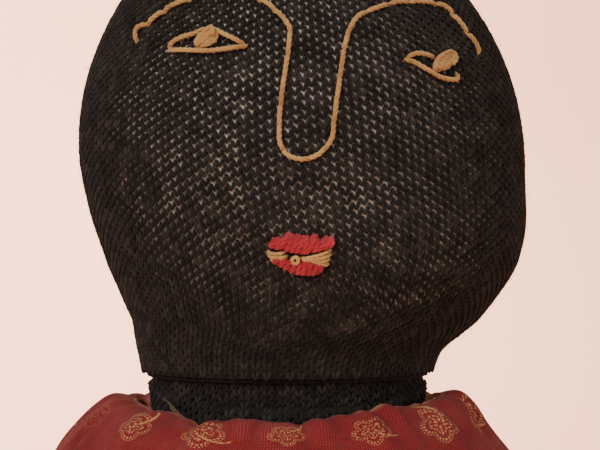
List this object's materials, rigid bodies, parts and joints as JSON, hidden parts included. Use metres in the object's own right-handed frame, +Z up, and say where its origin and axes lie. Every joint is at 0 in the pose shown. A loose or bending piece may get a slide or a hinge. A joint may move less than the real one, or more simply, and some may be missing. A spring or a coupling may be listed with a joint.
{
  "type": "stuffed cloth fertility doll",
  "caption": "Free-standing stuffed doll: black knit head with an embroidered yarn face, red print dress with puffed sleeves, jointed arms and a flat weighted base.",
  "frame": {"origin": "middle of the flat base, on the surface the doll stands on", "axes": "+Z up through the neck, the face towards -Y, the doll's left arm towards +X"},
  "size_m": [0.1944, 0.176, 0.4043],
  "materials": {
    "black_knit": "matte",
    "cream_stuffing": "matte",
    "tan_yarn": "matte",
    "red_yarn": "matte",
    "straw_yarn": "matte",
    "black_thread": "matte",
    "red_calico": "matte",
    "card": "matte",
    "grit": "matte"
  },
  "bodies": {
    "doll_body": {"body_knit": "black_knit", "body_stuffing": "cream_stuffing", "base_cover": "black_knit", "base_card": "card", "base_weight": "grit", "dress_front": "red_calico", "dress_back": "red_calico", "neckline_drawstring": "tan_yarn"},
    "neck_tie": {"neck_tie": "black_thread"},
    "neck_plug": {"neck_plug": "cream_stuffing"},
    "head": {"head_knit": "black_knit", "head_stuffing": "cream_stuffing", "crown_gather": "black_thread", "brow_and_nose_yarn": "tan_yarn", "right_eye_outline": "tan_yarn", "right_eye_knot": "tan_yarn", "left_eye_outline": "tan_yarn", "left_eye_knot": "tan_yarn", "upper_lip_stitches": "red_yarn", "teeth_stitches": "straw_yarn", "lower_lip_stitches": "red_yarn"},
    "right_shoulder": {"right_shoulder_tab": "black_knit"},
    "right_arm": {"right_sleeve": "red_calico", "right_arm_knit": "black_knit", "right_arm_stuffing": "cream_stuffing", "right_cuff_thread": "tan_yarn"},
    "left_shoulder": {"left_shoulder_tab": "black_knit"},
    "left_arm": {"left_sleeve": "red_calico", "left_arm_knit": "black_knit", "left_arm_stuffing": "cream_stuffing", "left_cuff_thread": "tan_yarn"}
  },
  "joints": [
    {"name": "head_nod", "type": "hinge", "parent": "doll_body", "child": "neck_tie", "pos_m": [0, 0, 0.282], "axis": [1, 0, 0], "range_deg": [-6, 10]},
    {"name": "head_tilt", "type": "hinge", "parent": "neck_tie", "child": "neck_plug", "pos_m": [0, 0, 0.282], "axis": [0, 1, 0], "range_deg": [-10, 10]},
    {"name": "head_turn", "type": "hinge", "parent": "neck_plug", "child": "head", "pos_m": [0, 0, 0.282], "axis": [0, 0, 1], "range_deg": [-45, 45]},
    {"name": "right_arm_swing", "type": "hinge", "parent": "doll_body", "child": "right_shoulder", "pos_m": [-0.0545, 0, 0.237], "axis": [-1, 0, 0], "range_deg": [-45, 70]},
    {"name": "right_arm_raise", "type": "hinge", "parent": "right_shoulder", "child": "right_arm", "pos_m": [-0.0545, 0, 0.237], "axis": [0, 1, 0], "range_deg": [0, 95]},
    {"name": "left_arm_swing", "type": "hinge", "parent": "doll_body", "child": "left_shoulder", "pos_m": [0.0545, 0, 0.237], "axis": [-1, 0, 0], "range_deg": [-45, 70]},
    {"name": "left_arm_raise", "type": "hinge", "parent": "left_shoulder", "child": "left_arm", "pos_m": [0.0545, 0, 0.237], "axis": [0, -1, 0], "range_deg": [0, 95]}
  ]
}
